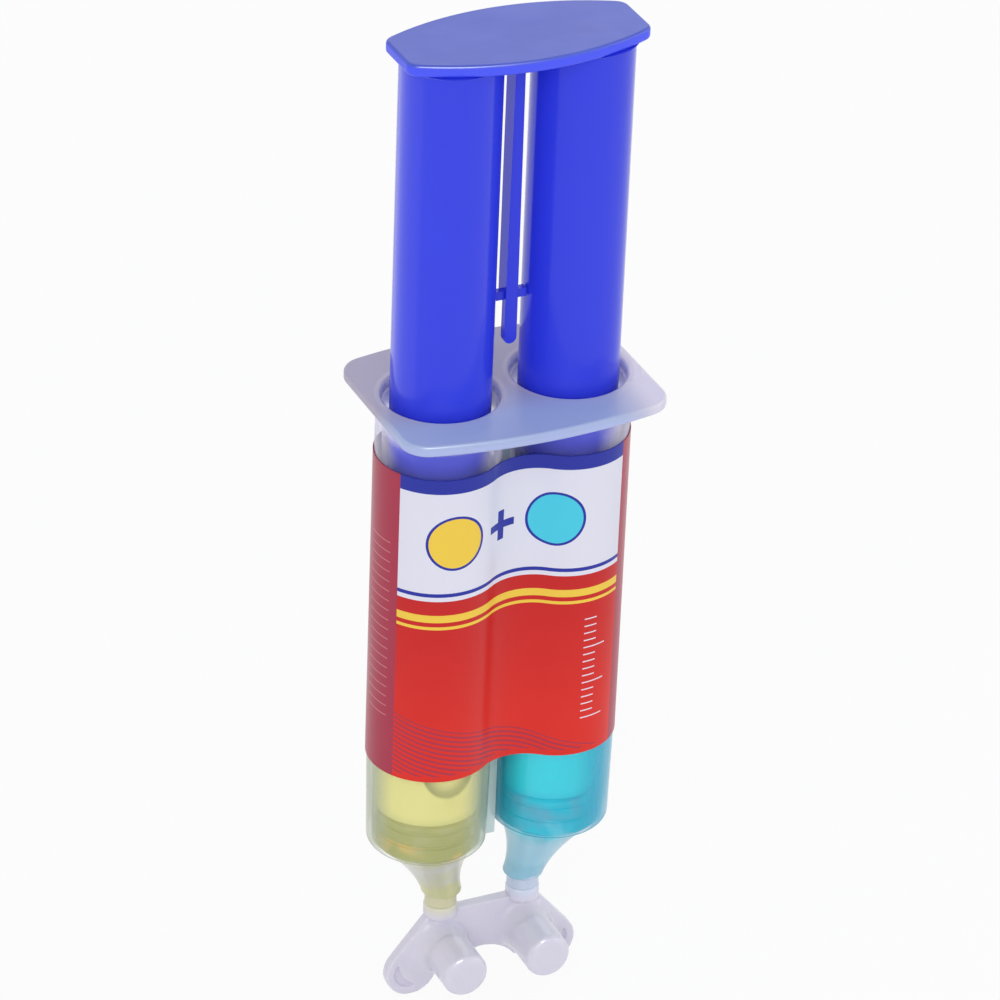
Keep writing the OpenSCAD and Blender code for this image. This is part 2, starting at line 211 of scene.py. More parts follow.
barrel_low, barrel_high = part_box("barrel_left")
foot_z = barrel_low.z
barrel_r = (barrel_high.y - barrel_low.y) / 2
bore_r = barrel_r - BARREL_WALL
barrel_x = -(barrel_low.x + barrel_high.x) / 2
floor_z = foot_z + FLOOR_RISE
flange_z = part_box("finger_flange")[0].z
label_low, label_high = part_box("label")


def piece_from(name, bm):
    """An object from a bmesh, smooth except along its sharp edges."""
    bmesh.ops.recalc_face_normals(bm, faces=bm.faces)
    mesh = bpy.data.meshes.new(name)
    bm.to_mesh(mesh)
    bm.free()
    mesh.shade_smooth()
    mesh.set_sharp_from_angle(angle=SHARP_ANGLE)
    made = bpy.data.objects.new(name, mesh)
    bpy.context.scene.collection.objects.link(made)
    return made


def arc(centre, radius, start, end, steps=ARC_STEPS):
    """Points round an arc, from one angle in degrees to another."""
    angles = [math.radians(start + (end - start) * i / steps) for i in range(steps + 1)]
    return [(centre[0] + radius * math.cos(a), centre[1] + radius * math.sin(a)) for a in angles]


def turned(name, outline, x=0.0, y=0.0, closed=False, sides=96):
    """A piece turned about an upright axis at x, y from an outline of (radius, height)."""
    bm = bmesh.new()
    turns = [2 * math.pi * i / sides for i in range(sides)]
    rings = []
    for radius, height in outline:
        if radius < ON_AXIS:
            rings.append([bm.verts.new((x, y, height))])
        else:
            rings.append([
                bm.verts.new((x + radius * math.cos(t), y + radius * math.sin(t), height))
                for t in turns])
    pairs = list(zip(rings, rings[1:]))
    if closed:
        pairs.append((rings[-1], rings[0]))
    for low, high in pairs:
        if len(low) == len(high) == 1:
            continue
        for i in range(sides):
            j = (i + 1) % sides
            corners = [low[i % len(low)], low[j % len(low)], high[j % len(high)], high[i % len(high)]]
            bm.faces.new(list(dict.fromkeys(corners)))
    return piece_from(name, bm)


def ink(tree, under, colour, mask):
    """Lays a colour over another where the mask is 1."""
    layer = tree.nodes.new("ShaderNodeMix")
    layer.data_type = "RGBA"
    for value, socket in ((mask, "Factor"), (under, "A"), ((*colour, 1), "B")):
        if isinstance(value, tuple):
            layer.inputs[socket].default_value = value
        else:
            tree.links.new(value, layer.inputs[socket])
    return layer.outputs["Result"]


def noise(tree, place, scale, detail=2.0):
    """Even noise of about this many lumps a metre."""
    made = tree.nodes.new("ShaderNodeTexNoise")
    made.inputs["Scale"].default_value = scale
    made.inputs["Detail"].default_value = detail
    tree.links.new(place, made.inputs["Vector"])
    return made.outputs["Fac"]


def tinted(colour, share):
    """A colour made lighter or darker by a share."""
    return tuple(min(1, c * share) for c in colour)


def plastic(name, colour, roughness, waviness=0.0, wave_scale=260, **sockets):
    """A moulded plastic with flow marks in its colour and gloss, and a fine uneven surface."""
    made = bpy.data.materials.new(name)
    made.use_nodes = True
    tree = made.node_tree
    shader = tree.nodes["Principled BSDF"]
    shader.inputs["Base Color"].default_value = (*colour, 1)
    for socket, value in sockets.items():
        shader.inputs[socket.replace("_", " ")].default_value = value
    place = tree.nodes.new("ShaderNodeTexCoord").outputs["Object"]
    flow = noise(tree, place, FLOW_SCALE)
    gloss = spread(tree, flow, *FLOW_RANGE, *(roughness * share for share in GLOSS_SHARES))
    tree.links.new(gloss, shader.inputs["Roughness"])
    darker, lighter = (tinted(colour, share) for share in TONE_SHARES)
    tree.links.new(ink(tree, (*darker, 1), lighter, flow), shader.inputs["Base Color"])
    surface = calc(tree, "MULTIPLY", noise(tree, place, GRAIN_SCALE, GRAIN_DETAIL), GRAIN_DEPTH)
    waves = calc(tree, "MULTIPLY", noise(tree, place, wave_scale), waviness)
    bump = tree.nodes.new("ShaderNodeBump")
    bump.inputs["Distance"].default_value = 1
    tree.links.new(calc(tree, "ADD", surface, waves), bump.inputs["Height"])
    tree.links.new(bump.outputs["Normal"], shader.inputs["Normal"])
    return made


def colour_of(finish):
    """The node tree of a finish, its colour so far, and its object coordinates x, y, z."""
    tree = finish.node_tree
    split = tree.nodes.new("ShaderNodeSeparateXYZ")
    tree.links.new(tree.nodes["Texture Coordinate"].outputs["Object"], split.inputs[0])
    tone = tree.nodes["Principled BSDF"].inputs["Base Color"].links[0].from_socket
    return (tree, tone, *split.outputs)


def recolour(finish, tone):
    """Gives a finish its final colour."""
    finish.node_tree.links.new(tone, finish.node_tree.nodes["Principled BSDF"].inputs["Base Color"])


def finished(made, finish, body, slot, *nodes):
    """Gives a piece its material and its body, and hides the CAD nodes that it stands for."""
    made.data.materials.clear()
    made.data.materials.append(finish)
    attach(made, body)
    if nodes:
        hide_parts(*nodes)
    return made


foot_r = barrel_r - FOOT_DRAFT
for side, sign in SIDES.items():
    outline = arc((foot_r - FOOT_ROUND, foot_z + FOOT_ROUND), FOOT_ROUND, -90, 0)
    outline += [(barrel_r, label_low.z), (barrel_r, flange_z), (bore_r, flange_z), (bore_r, foot_z)]
    barrel = turned(f"{side}_barrel", outline, sign * barrel_x, closed=True)
    clear = plastic(f"clear_by_{side}_liquid", WALL_TINTS[side], roughness=0.12)
    tree, tone, _, _, height = colour_of(clear)
    empty = spread(tree, height, label_low.z, label_high.z, 0, 1)
    recolour(clear, ink(tree, tone, EMPTY_WALL, empty))
    weight = tree.nodes.new("ShaderNodeLayerWeight")
    full, none = (spread(tree, weight.outputs["Facing"], *WALL_FACING[side], *density)
                  for density in (WALL_DENSITY, EMPTY_DENSITY))
    density = calc(tree, "ADD", calc(tree, "MULTIPLY", none, empty),
                   calc(tree, "MULTIPLY", full, calc(tree, "SUBTRACT", 1, empty)))
    mouth = spread(tree, height, *(flange_z - drop for drop in MOUTH_FADE), 0, MOUTH_DENSITY)
    density = calc(tree, "MAXIMUM", density, mouth)
    tree.links.new(density, tree.nodes["Principled BSDF"].inputs["Alpha"])
    finished(barrel, clear, "barrel_body", "clear_barrel", f"barrel_{side}")


# Finger flange. A milky plate of the same moulding, 1.7 mm thick, that the fingers pull on. Its
# long edges are bowed and soft, and it runs up to the mouths of both bores, where a ring of
# painted light shows.
FLANGE_SAG = 0.0025
FLANGE_CORNER_R = 0.004
FLANGE_ROUND = 0.0005
MOUTH_LIP = 0.00025

flange_low, flange_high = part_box("finger_flange")


def bowed(length, width, sag, corner_r):
    """Outline with two bowed long edges, straight ends and round corners, for any inset."""
    bow_r = (length ** 2 / 4 + sag ** 2) / (2 * sag)
    bow_y = width / 2 - bow_r
    corner_x = length / 2 - corner_r
    corner_y = bow_y + math.sqrt((bow_r - corner_r) ** 2 - corner_x ** 2)
    turn = math.degrees(math.atan2(corner_y - bow_y, corner_x))

    def outline(inset):
        half = arc((corner_x, corner_y), corner_r - inset, 0, turn)
        half += arc((0, bow_y), bow_r - inset, turn, 180 - turn, 4 * ARC_STEPS)[1:-1]
        half += arc((-corner_x, corner_y), corner_r - inset, 180 - turn, 180)
        return half + [(-px, -py) for px, py in half]
    return outline


def round_hole(x, y, radius, sides=96):
    """Outline of a round hole, for any inset of the plate round it."""
    return lambda inset: arc((x, y), radius + inset, 0, 360 * (1 - 1 / sides), sides - 1)


def rounded_edge(radius):
    """Steps of (inset, drop) round the edge of a plate, from its side to its face."""
    turns = [math.pi / 2 * i / ARC_STEPS for i in range(ARC_STEPS + 1)]
    return [(radius * (1 - math.cos(t)), radius * (1 - math.sin(t))) for t in turns]


def slab(name, low, high, rounding, outlines):
    """A level plate between two heights, with its outlines' edges rounded."""
    bm = bmesh.new()
    profile = rounded_edge(rounding)
    levels = [(inset, low + drop) for inset, drop in reversed(profile)]
    levels += [(inset, high - drop) for inset, drop in profile]
    lids = []
    for outline in outlines:
        rings = [[bm.verts.new((px, py, z)) for px, py in outline(inset)] for inset, z in levels]
        n = len(rings[0])
        for under, over in zip(rings, rings[1:]):
            for i in range(n):
                j = (i + 1) % n
                bm.faces.new((under[i], under[j], over[j], over[i]))
        lids.append((rings[0], rings[-1]))
    for end in (0, 1):
        edges = [bm.edges.get((ring[end][i - 1], ring[end][i]))
                 for ring in lids for i in range(len(ring[end]))]
        bmesh.ops.triangle_fill(bm, edges=edges, use_beauty=True)
    made = piece_from(name, bm)
    weighted = made.modifiers.new("flat_faces_first", "WEIGHTED_NORMAL")
    weighted.keep_sharp = True
    return made


def distance(tree, a, b):
    """The length of a line from its two sides."""
    squares = [calc(tree, "MULTIPLY", leg, leg) for leg in (a, b)]
    return calc(tree, "SQRT", calc(tree, "ADD", *squares))


FLANGE_BACK = (0.47, 0.43, 0.58)
FLANGE_FRONT_PAINTED_BLUE_LIGHT = (0.44, 0.55, 0.82)
FRONT_REACH = (-0.001, -0.0085)
FRONT_FADE = (0.0100, 0.0165)
FRONT_AT_END = 0.15
FLANGE_END_PAINTED_LIGHT = (0.95, 0.89, 0.98)
END_REACH = (0.0105, 0.0175)
END_SHARE = 0.9
FLANGE_RIM_PAINTED_LIGHT = (0.53, 0.61, 0.96)
RIM_DROP = (0.0001, 0.0009)
RIM_SHARE = 0.7
FLANGE_RING_PAINTED_LIGHT = (0.56, 0.53, 0.66)
RING_WIDTH = 0.0011
RING_SOFTNESS = 0.0003
RING_SHARE = 0.85
RING_FADE = (0.008, 0.018)
RING_AT_END = 0.35
RING_FRONT = (-0.0075, -0.0045)
RING_IN_FRONT = 0.25
MOUTH_WALL_PAINTED_LIGHT = (0.97, 0.95, 1.0)
MOUTH_SOFTNESS = 0.0002

flange = slab("flange", flange_z, flange_top, FLANGE_ROUND, [
    bowed(flange_high.x - flange_low.x, flange_high.y - flange_low.y, FLANGE_SAG, FLANGE_CORNER_R),
    round_hole(-barrel_x, 0, bore_r + MOUTH_LIP), round_hole(barrel_x, 0, bore_r + MOUTH_LIP)])
frosted = plastic("frosted_flange", FLANGE_BACK, roughness=0.3, Alpha=0.82)
tree, tone, across, along, height = colour_of(frosted)
beside_axis = calc(tree, "SUBTRACT", calc(tree, "ABSOLUTE", across), barrel_x)
from_axis = distance(tree, beside_axis, along)
# Painted light: the front of the plate is tinted blue for the rods' blue light carried in the milky
# plastic, less towards the ends.
front = calc(tree, "MULTIPLY", spread(tree, along, *FRONT_REACH, 0, 1),
             spread(tree, across, *FRONT_FADE, 1, FRONT_AT_END))
# Painted light: the right end of the plate is painted lighter.
tone = ink(tree, tone, FLANGE_END_PAINTED_LIGHT, spread(tree, across, *END_REACH, 0, END_SHARE))
tone = ink(tree, tone, FLANGE_FRONT_PAINTED_BLUE_LIGHT, front)
# Painted light: a brighter blue just below the top edge, at the front.
edge = spread(tree, height, *(flange_top - drop for drop in RIM_DROP), 0, RIM_SHARE)
tone = ink(tree, tone, FLANGE_RIM_PAINTED_LIGHT, calc(tree, "MULTIPLY", front, edge))
# A ring of painted light round each bore, for its lit lip, weaker on the right bore's outer side and at
# the very front.
ring_r = bore_r + RING_WIDTH
ring = calc(tree, "MULTIPLY", spread(tree, across, *RING_FADE, 1, RING_AT_END),
            spread(tree, from_axis, ring_r, ring_r + RING_SOFTNESS, RING_SHARE, 0))
ring = calc(tree, "MULTIPLY", ring, spread(tree, along, *RING_FRONT, RING_IN_FRONT, 1))
tone = ink(tree, tone, FLANGE_RING_PAINTED_LIGHT, ring)
# Painted light: the wall of each hole is painted near white, where it would lie in shade.
mouth_r = bore_r + MOUTH_LIP
in_mouth = spread(tree, from_axis, mouth_r, mouth_r + MOUTH_SOFTNESS, 1, 0)
recolour(frosted, ink(tree, tone, MOUTH_WALL_PAINTED_LIGHT, in_mouth))
finished(flange, frosted, "barrel_body", "frosted_flange", "finger_flange")

# Web. The narrow wall of the moulding that joins the two barrels and shows below their feet. Its
# sides are hollowed to fit them.
WEB_ROUND = 0.0002
WEB_COLOUR = (0.72, 0.90, 0.90)

web_low, web_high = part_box("barrel_web")


def web_outline(inset):
    """The web's outline between the two barrels, drawn in by an inset."""
    lean = math.degrees(math.asin((web_high.y - inset) / (barrel_r + inset)))
    outline = arc((barrel_x, 0), barrel_r + inset, 180 - lean, 180 + lean)
    return outline + arc((-barrel_x, 0), barrel_r + inset, -lean, lean)


web = slab("web", web_low.z, flange_z, WEB_ROUND, [web_outline])
web_finish = plastic("milky_web", WEB_COLOUR, roughness=0.3, Alpha=0.6)
finished(web, web_finish, "barrel_body", "frosted_flange", "barrel_web")

# Outlets. Below each floor the barrel is closed by a plug, and a cone leans in from it to a
# neck and a tip. The walls are thick and milky, and the liquid shows in them.
NECK_ROUND = 0.0003
NECK_R = 0.00305
TIP_R = 0.0024
TIP_LENGTH = 0.002
CONE_IN = 0.0004
CONE_SHIFT_SHARE = 0.95
CONE_FLARE = 1.75
CONE_STEPS = 32
PASSAGE_R = 0.0015
PLUG_GAP = 0.00005
PLUG_STEPS = ((0.0004, 0), (0, 0.0004), (0, 0.0024), (0.0002, 0.0026), (0.0002, 0.0028), (0, 0.003))
FLOOR_STEPS = ((0, 0.0016), (0.0001, 0.0015), (0.0001, 0.0012), (0, 0.0011), (0, 0.0003), (0.0003, 0))
OUTLET_DENSITY = (0.86, 0.97)
OUTLET_TINTS = {
    "left": {"plug": (0.52, 0.53, 0.19), "floor": (0.60, 0.60, 0.24), "shade": (0.56, 0.58, 0.34),
             "cone": (0.64, 0.65, 0.58), "neck": (0.70, 0.70, 0.34), "tip": (0.74, 0.72, 0.48),
             "patch": (0.62, 0.62, 0.36), "painted_glint": (0.82, 0.62, 0.20)},
    "right": {"plug": (0.03, 0.70, 0.86), "floor": (0.04, 0.78, 0.92), "shade": (0.22, 0.64, 0.78),
              "cone": (0.38, 0.68, 0.83), "neck": (0.32, 0.62, 0.78), "tip": (0.66, 0.75, 0.92),
              "patch": (0.22, 0.52, 0.70), "painted_glint": (0.16, 0.80, 0.95)},
}
OUTLET_BANDS = (
    ("tip", "tip", 0), ("tip", "neck", -0.0004), ("neck", "neck", 0.0005), ("neck", "neck", 0.0022),
    ("cone", "neck", 0.0038), ("cone", "foot", -0.0035), ("shade", "foot", -0.001),
    ("plug", "foot", -0.0002), ("plug", "floor", -0.0018), ("floor", "floor", 0))
BAND_SCALE = 320
BAND_WANDER = 0.0008
PATCHES = {"scale": 170, "low": 0.5, "high": 0.66, "share": 0.6}
PATCH_START = 0.0004
PAINTED_GLINTS = {"scale": 210, "low": 0.52, "high": 0.64, "share": 0.8}
PAINTED_GLINTS_ABOVE_FOOT = 0.0007
PAINTED_GLINTS_HALF_H = 0.0022

outlet_low, outlet_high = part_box("resin_outlet_fill")
outlet_x = -(outlet_low.x + outlet_high.x) / 2
outlet_y = (outlet_low.y + outlet_high.y) / 2
tip_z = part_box("nozzle_left")[0].z
neck_z = tip_z + TIP_LENGTH


def stacked(name, circles, sides=72):
    """A piece through a stack of level circles, each (x, y, z, radius), closed into a ring."""
    bm = bmesh.new()
    turns = [2 * math.pi * i / sides for i in range(sides)]
    rings = [[bm.verts.new((cx + r * math.cos(t), cy + r * math.sin(t), cz)) for t in turns]
             for cx, cy, cz, r in circles]
    for low, high in zip(rings, rings[1:] + rings[:1]):
        for i in range(sides):
            j = (i + 1) % sides
            bm.faces.new((low[i], low[j], high[j], high[i]))
    return piece_from(name, bm)


def by_height(tree, height, stops):
    """A colour that runs through (height, colour) stops."""
    ramp = tree.nodes.new("ShaderNodeValToRGB")
    bottom, top = stops[0][0], stops[-1][0]
    while len(ramp.color_ramp.elements) < len(stops):
        ramp.color_ramp.elements.new(0.5)
    for element, (z, colour) in zip(ramp.color_ramp.elements, stops):
        element.position = (z - bottom) / (top - bottom)
        element.color = (*colour, 1)
    tree.links.new(spread(tree, height, bottom, top, 0, 1), ramp.inputs["Fac"])
    return ramp.outputs["Color"]


def speckles(tree, scale, low, high, share):
    """Uneven patches, from 0 up to a share, where noise of this scale is high."""
    place = tree.nodes["Texture Coordinate"].outputs["Object"]
    return spread(tree, noise(tree, place, scale), low, high, 0, share)


levels = {"tip": tip_z, "neck": neck_z, "foot": foot_z, "floor": floor_z}
for side, sign in SIDES.items():
    circles = [(outlet_x, outlet_y, tip_z, TIP_R), (outlet_x, outlet_y, neck_z, TIP_R)]
    circles += [(outlet_x, outlet_y, neck_z + drop, NECK_R - inset)
                for inset, drop in reversed(rounded_edge(NECK_ROUND))]
    cone_z = neck_z + NECK_ROUND
    for i in range(1, CONE_STEPS + 1):
        t = i / CONE_STEPS
        shift = min(t / CONE_SHIFT_SHARE, 1)
        widening = t ** CONE_FLARE
        circles.append((
            outlet_x + (barrel_x - outlet_x) * shift, outlet_y * (1 - shift),
            cone_z + (foot_z - cone_z) * t, NECK_R + (bore_r - CONE_IN - NECK_R) * widening))
    plug_r = bore_r - PLUG_GAP
    circles += [(barrel_x, 0, foot_z + dz, plug_r - dr) for dr, dz in PLUG_STEPS]
    circles += [(barrel_x, 0, floor_z - dz, plug_r - dr) for dr, dz in FLOOR_STEPS]
    circles += [(outlet_x, outlet_y, floor_z, PASSAGE_R), (outlet_x, outlet_y, tip_z, PASSAGE_R)]
    nozzle = stacked(f"{side}_outlet", [(sign * cx, cy, cz, r) for cx, cy, cz, r in circles])
    tints = OUTLET_TINTS[side]
    milky = plastic(f"milky_outlet_{side}", tints["cone"], roughness=0.16, waviness=0.00008)
    tree, tone, _, _, height = colour_of(milky)
    place = tree.nodes["Texture Coordinate"].outputs["Object"]
    wander = spread(tree, noise(tree, place, BAND_SCALE), *FLOW_RANGE, -BAND_WANDER, BAND_WANDER)
    bands = [(levels[level] + rise, tints[tint]) for tint, level, rise in OUTLET_BANDS]
    tone = by_height(tree, calc(tree, "ADD", height, wander), bands)
    past_tip = spread(tree, height, neck_z - PATCH_START, neck_z + PATCH_START, 0, 1)
    tone = ink(tree, tone, tints["patch"], calc(tree, "MULTIPLY", speckles(tree, **PATCHES), past_tip))
    # Painted glints: small bright amber spots in the left outlet and bright cyan ones in the right, round
    # the foot.
    low_plug = calc(tree, "COMPARE", height, foot_z + PAINTED_GLINTS_ABOVE_FOOT, PAINTED_GLINTS_HALF_H)
    tone = ink(tree, tone, tints["painted_glint"], calc(tree, "MULTIPLY", speckles(tree, **PAINTED_GLINTS), low_plug))
    recolour(milky, tone)
    solid = spread(tree, height, neck_z, foot_z, *OUTLET_DENSITY)
    tree.links.new(solid, tree.nodes["Principled BSDF"].inputs["Alpha"])
    finished(nozzle, milky, "barrel_body", "clear_nozzle", f"nozzle_{side}")


# Resin and hardener. Pale yellow epoxy resin on the left and cyan hardener on the right fill the
# bores from floor to piston, and the passages below. An air bubble lies against the wall in the
# resin, under the label.
FILM = 0.00006
FLOOR_FILLET = 0.0003
LIQUIDS = {
    "left": {"name": "resin", "colour": (0.98, 0.91, 0.36), "shade": (0.76, 0.74, 0.30)},
    "right": {"name": "hardener", "colour": (0.055, 0.88, 0.98), "shade": (0.05, 0.72, 0.90)},
}
SHADE_RISE = 0.0016
SHADE_SHARE = 0.8
BUBBLE_BEARING = -0.5
BUBBLE_HALF_W = 0.0042
BUBBLE_HALF_H = 0.0048
BUBBLE_DEPTH = 0.0013
BUBBLE_SINK = 0.0008
BUBBLE_RINGS = 40
BUBBLE_SHADE = (0.50, 0.49, 0.20)
BUBBLE_EDGE = (0.62, 0.85)
BUBBLE_EDGE_SHARE = 0.75
BUBBLE_END = (0.96, 1.02)

piston_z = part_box("piston_left")[0].z
bubble_z = label_low.z + BUBBLE_SINK
for side, sign in SIDES.items():
    liquid = LIQUIDS[side]
    outline = [(0, floor_z + FILM)]
    outline += arc((bore_r - FLOOR_FILLET, floor_z + FLOOR_FILLET + FILM), FLOOR_FILLET - FILM, -90, 0)
    outline += [(bore_r - FILM, bubble_z + BUBBLE_HALF_H * (2 * i / BUBBLE_RINGS - 1))
                for i in range(BUBBLE_RINGS + 1)]
    outline += [(bore_r - FILM, piston_z - FILM), (0, piston_z - FILM)]
    column = turned(liquid["name"], outline, sign * barrel_x, sides=256)
    finish = plastic(liquid["name"], liquid["colour"], roughness=0.12)
    tree, tone, across, along, height = colour_of(finish)
    near_floor = spread(tree, height, floor_z, floor_z + SHADE_RISE, SHADE_SHARE, 0)
    tone = ink(tree, tone, liquid["shade"], near_floor)
    if side == "left":
        face = math.radians(-90 - BUBBLE_BEARING)
        from_axis = calc(tree, "ADD", across, barrel_x)
        over = calc(tree, "ADD", calc(tree, "MULTIPLY", from_axis, -math.sin(face) / BUBBLE_HALF_W),
                    calc(tree, "MULTIPLY", along, math.cos(face) / BUBBLE_HALF_W))
        rise = calc(tree, "DIVIDE", calc(tree, "SUBTRACT", height, bubble_z), BUBBLE_HALF_H)
        away = distance(tree, over, rise)
        edge = calc(tree, "MULTIPLY", spread(tree, away, *BUBBLE_EDGE, 0, BUBBLE_EDGE_SHARE),
                    spread(tree, away, *BUBBLE_END, 1, 0))
        in_front = calc(tree, "LESS_THAN", along, 0)
        tone = ink(tree, tone, BUBBLE_SHADE, calc(tree, "MULTIPLY", edge, in_front))
        for vertex in column.data.vertices:
            out = Vector((vertex.co.x + barrel_x, vertex.co.y, 0))
            if out.length < bore_r / 2:
                continue
            bearing = math.atan2(out.y, out.x) - face
            off = math.hypot(bearing * bore_r / BUBBLE_HALF_W, (vertex.co.z - bubble_z) / BUBBLE_HALF_H)
            if off < 1:
                vertex.co -= out.normalized() * BUBBLE_DEPTH * math.sqrt(1 - off * off)
    recolour(finish, tone)
    finished(column, finish, "barrel_body", liquid["name"], f"{liquid['name']}_fill")
    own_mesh(column)
    thread = turned(
        f"{liquid['name']}_in_outlet",
        [(0, tip_z), (PASSAGE_R - FILM, tip_z), (PASSAGE_R - FILM, floor_z), (0, floor_z)],
        sign * outlet_x, outlet_y, sides=48)
    finished(thread, finish, "barrel_body", liquid["name"], f"{liquid['name']}_outlet_fill")


# Rods. Two tubes of glossy blue polypropylene, moulded with the thumb plate, which they meet
# in a small fillet. The lamp on the floor shows in the left one alone.
ROD_WALL = 0.0013
ROD_FILLET = 0.0006
BLUE = (0.036, 0.056, 0.78)

rod_low, rod_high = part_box("rod_left")
rod_r = (rod_high.y - rod_low.y) / 2
blue_plastic = plastic("blue_polypropylene", BLUE, roughness=0.16, Specular_IOR_Level=0.25)
for side, sign in SIDES.items():
    outline = [(rod_r - ROD_WALL, rod_low.z), (rod_r, rod_low.z)]
    outline += arc((rod_r + ROD_FILLET, rod_high.z - ROD_FILLET), ROD_FILLET, 180, 90)
    outline += [(rod_r - ROD_WALL, rod_high.z)]
    rod = turned(f"{side}_rod", outline, sign * barrel_x, closed=True)
    finished(rod, blue_plastic, "plunger", "blue_plunger", f"rod_{side}")
    if side == "left":
        lights_only("lamp_low", rod)

# Thumb plate. The end of the plunger moulding that the thumb presses, bowed along both long
# edges, with soft edges and a slightly wavy, duller top. The top's greyer, mottled blue is a
# painted sheen, and the band below its edge a brighter blue of painted light.
THUMB_SAG = 0.0045
THUMB_CORNER_R = 0.002
THUMB_ROUND = 0.0005
# The top's blue is greyer than the rods' for a painted sheen, and the edge's blue brighter for painted
# light.
THUMB_TOP_BLUE_WITH_SHEEN = (0.045, 0.085, 0.58)
THUMB_EDGE_PAINTED_LIGHT = (0.053, 0.085, 0.95)
THUMB_EDGE_DROP = (0.0001, 0.0005)
THUMB_PAINTED_SHEEN_PATCH = (0.075, 0.125, 0.64)
THUMB_PAINTED_SHEEN_PATCHES = {"scale": 90, "low": 0.42, "high": 0.66, "share": 0.7}

thumb_low, thumb_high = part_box("thumb_plate")
thumb = slab("thumb_rest", thumb_low.z, thumb_high.z, THUMB_ROUND, [
    bowed(thumb_high.x - thumb_low.x, thumb_high.y - thumb_low.y, THUMB_SAG, THUMB_CORNER_R)])
thumb_blue_painted_sheen = plastic(
    "blue_polypropylene_painted_sheen", THUMB_TOP_BLUE_WITH_SHEEN, roughness=0.34, waviness=0.00016, wave_scale=110)
tree, tone, _, _, height = colour_of(thumb_blue_painted_sheen)
# Painted sheen: lighter, greyer patches over the top.
tone = ink(tree, tone, THUMB_PAINTED_SHEEN_PATCH, speckles(tree, **THUMB_PAINTED_SHEEN_PATCHES))
# Painted light: a brighter blue on the band just below the top's edge.
edge = spread(tree, height, *(thumb_high.z - drop for drop in THUMB_EDGE_DROP), 0, 1)
recolour(thumb_blue_painted_sheen, ink(tree, tone, THUMB_EDGE_PAINTED_LIGHT, edge))
finished(thumb, thumb_blue_painted_sheen, "plunger", "blue_plunger", "thumb_plate")

# Pistons. A blue polyethylene plunger head on each rod, with two sealing lips round a waist
# and a plug that is pressed into the rod.
LIP_H = 0.0014
WAIST_IN = 0.0008
LIP_ROUND = 0.0003
SEAL_GAP = 0.00007
PISTON_BLUE = (0.04, 0.05, 0.42)

piston_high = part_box("piston_left")[1]
piston_top = rod_low.z
lip_r = bore_r - SEAL_GAP
piston_finish = plastic("piston_polyethylene", PISTON_BLUE, roughness=0.4)
for side, sign in SIDES.items():
    outline = [(0, piston_z)]
    for base in (piston_z, piston_top - LIP_H):
        outline += arc((lip_r - LIP_ROUND, base + LIP_ROUND), LIP_ROUND, -90, 0)
        outline += arc((lip_r - LIP_ROUND, base + LIP_H - LIP_ROUND), LIP_ROUND, 0, 90)
        if base == piston_z:
            outline += [(lip_r - WAIST_IN, base + LIP_H), (lip_r - WAIST_IN, piston_top - LIP_H)]
    plug_r = rod_r - ROD_WALL - SEAL_GAP
    outline += [(plug_r, piston_top), (plug_r, piston_high.z), (0, piston_high.z)]
    piston = turned(f"{side}_piston", outline, sign * barrel_x)
    finished(piston, piston_finish, "plunger", "piston", f"piston_{side}")

# Mixing stick. A flat stick with a rib behind it, moulded to the thumb plate between the rods
# and tied to them by a thin bar near its rounded tip. It is snapped out to stir the epoxy.
STICK_ROUND = 0.00015
STICK_ROUND_STEPS = 3
SAME_POINT = 1e-6

for node in ("mixing_stick", "stick_tie_bar"):
    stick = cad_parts[node]
    stick.data.materials.clear()
    stick.data.materials.append(blue_plastic)
    stick.modifiers.new("joined_corners", "WELD").merge_threshold = SAME_POINT
    softened = stick.modifiers.new("soft_edges", "BEVEL")
    softened.width = STICK_ROUND
    softened.segments = STICK_ROUND_STEPS

# Label. One printed film round the front and sides of both barrels, which bridges the valley
# between them. Its design is plain fields, stripes, two round drops with a plus sign, and marks.
LABEL_DIP = 0.0032
LABEL_THICKNESS = 0.00015
LABEL_END = 70
FILM_STEPS = 96
VALLEY_STEPS = 32
RED_LOW = (0.74, 0.026, 0.017)
RED_TOP = (0.57, 0.016, 0.016)
DARK_RED = (0.41, 0.037, 0.075)
PALE_RED = (0.60, 0.20, 0.22)
WHITE = (0.77, 0.77, 0.88)
NAVY = (0.022, 0.034, 0.36)
GOLD = (0.90, 0.62, 0.07)
CYAN = (0.07, 0.62, 0.80)
RED_TURNS_AT = 0.006
PAST_FILM = 1
FRONT_LEFT, FRONT_RIGHT = -0.0200, 0.0165
FIELD_LOW, FIELD_HIGH = 0.0305, 0.0508
NAVY_BAND = 0.0028
NAVY_LINE_LOW, NAVY_LINE_HIGH = 0.0007, 0.0013
DROP_OUT = 0.0085
DROPS_AT = -0.0030
DROP_R = 0.0040
DROP_LINE = 0.0004
PLUS_L = 0.0024
PLUS_T = 0.0006
GOLD_STRIPES = ((0.0270, 0.0282), (0.0258, 0.0263))
STRIPE_SLOPE = 0.3
STRIPE_PITCH = 0.0008
STRIPE_SHARE = 0.4
STRIPES_SLANT = (-0.02, 0.0050)
STRIPES_RISE = (0.0009, 0.02)
TICK_PITCH = 0.0012
TICK_SHARE = 0.16
TICKS_TO_LONG = 5
SHORT_TICKS = (0.0105, 0.0125, 0.0055, 0.0235)
LONG_TICKS = (0.0105, 0.0142, 0.0055, 0.0235)
RULE_PITCH = 0.0016
RULE_SHARE = 0.1
RULES = (-0.0262, -0.0215, 0.0085, 0.0400)

